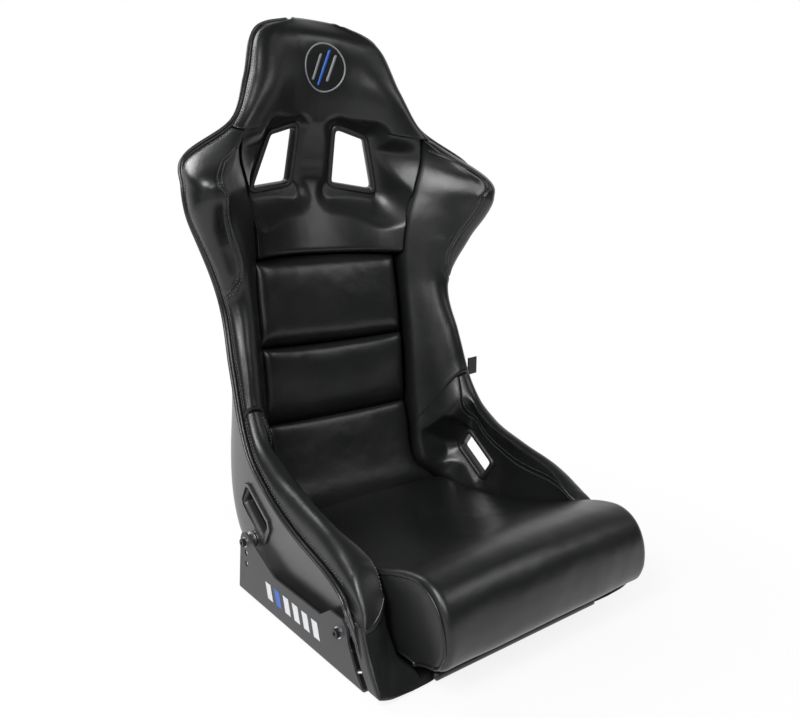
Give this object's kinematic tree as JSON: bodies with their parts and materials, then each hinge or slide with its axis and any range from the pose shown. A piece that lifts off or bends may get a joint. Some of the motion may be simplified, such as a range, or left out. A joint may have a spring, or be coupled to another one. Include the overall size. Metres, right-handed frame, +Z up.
{
  "type": "racing seat",
  "caption": "Fixed-back racing bucket seat with a moulded shell, padded vinyl trim, harness slots and bolted side brackets.",
  "frame": {"origin": "on the floor that the bracket feet stand on, under the middle of the seat's width and length", "axes": "+Z up; -Y is the way the sitter looks; +X is the sitter's left"},
  "size_m": [0.581, 0.6141, 0.9028],
  "materials": {
    "vinyl": "soft black vinyl with a fine leather grain and a satin sheen",
    "shell": "dark grey satin gelcoat on the moulded composite shell",
    "edging": "black vinyl edging, stitched in two rows",
    "moulded_plastic": "satin black injection-moulded plastic",
    "woven_nylon": "black woven nylon webbing",
    "bracket_paint": "dark grey powder coat on pressed steel",
    "black_oxide": "black oxide steel",
    "zinc": "bright zinc-plated steel"
  },
  "bodies": {
    "root": {"shell": "shell", "edge_trim": "edging", "head_cover": "vinyl", "side_bolster_left": "vinyl", "side_bolster_right": "vinyl", "thigh_bolster_left": "vinyl", "thigh_bolster_right": "vinyl", "side_panel_left": "vinyl", "side_panel_right": "vinyl", "back_pad_upper": "vinyl", "back_pad_middle": "vinyl", "back_pad_lower": "vinyl", "seat_cushion": "vinyl", "cushion_strips": "woven_nylon", "shoulder_bezel_left": "moulded_plastic", "shoulder_bezel_right": "moulded_plastic", "shoulder_ring_left": "moulded_plastic", "shoulder_ring_right": "moulded_plastic", "lap_bezel_left": "moulded_plastic", "lap_bezel_right": "moulded_plastic", "lap_ring_left": "moulded_plastic", "lap_ring_right": "moulded_plastic", "side_bracket_left": "bracket_paint", "side_bracket_right": "bracket_paint", "bracket_bolts": "black_oxide", "bracket_washers": "zinc", "bracket_spacers": "moulded_plastic", "shell_inserts": "zinc", "loop_tag": "woven_nylon"}
  },
  "joints": []
}
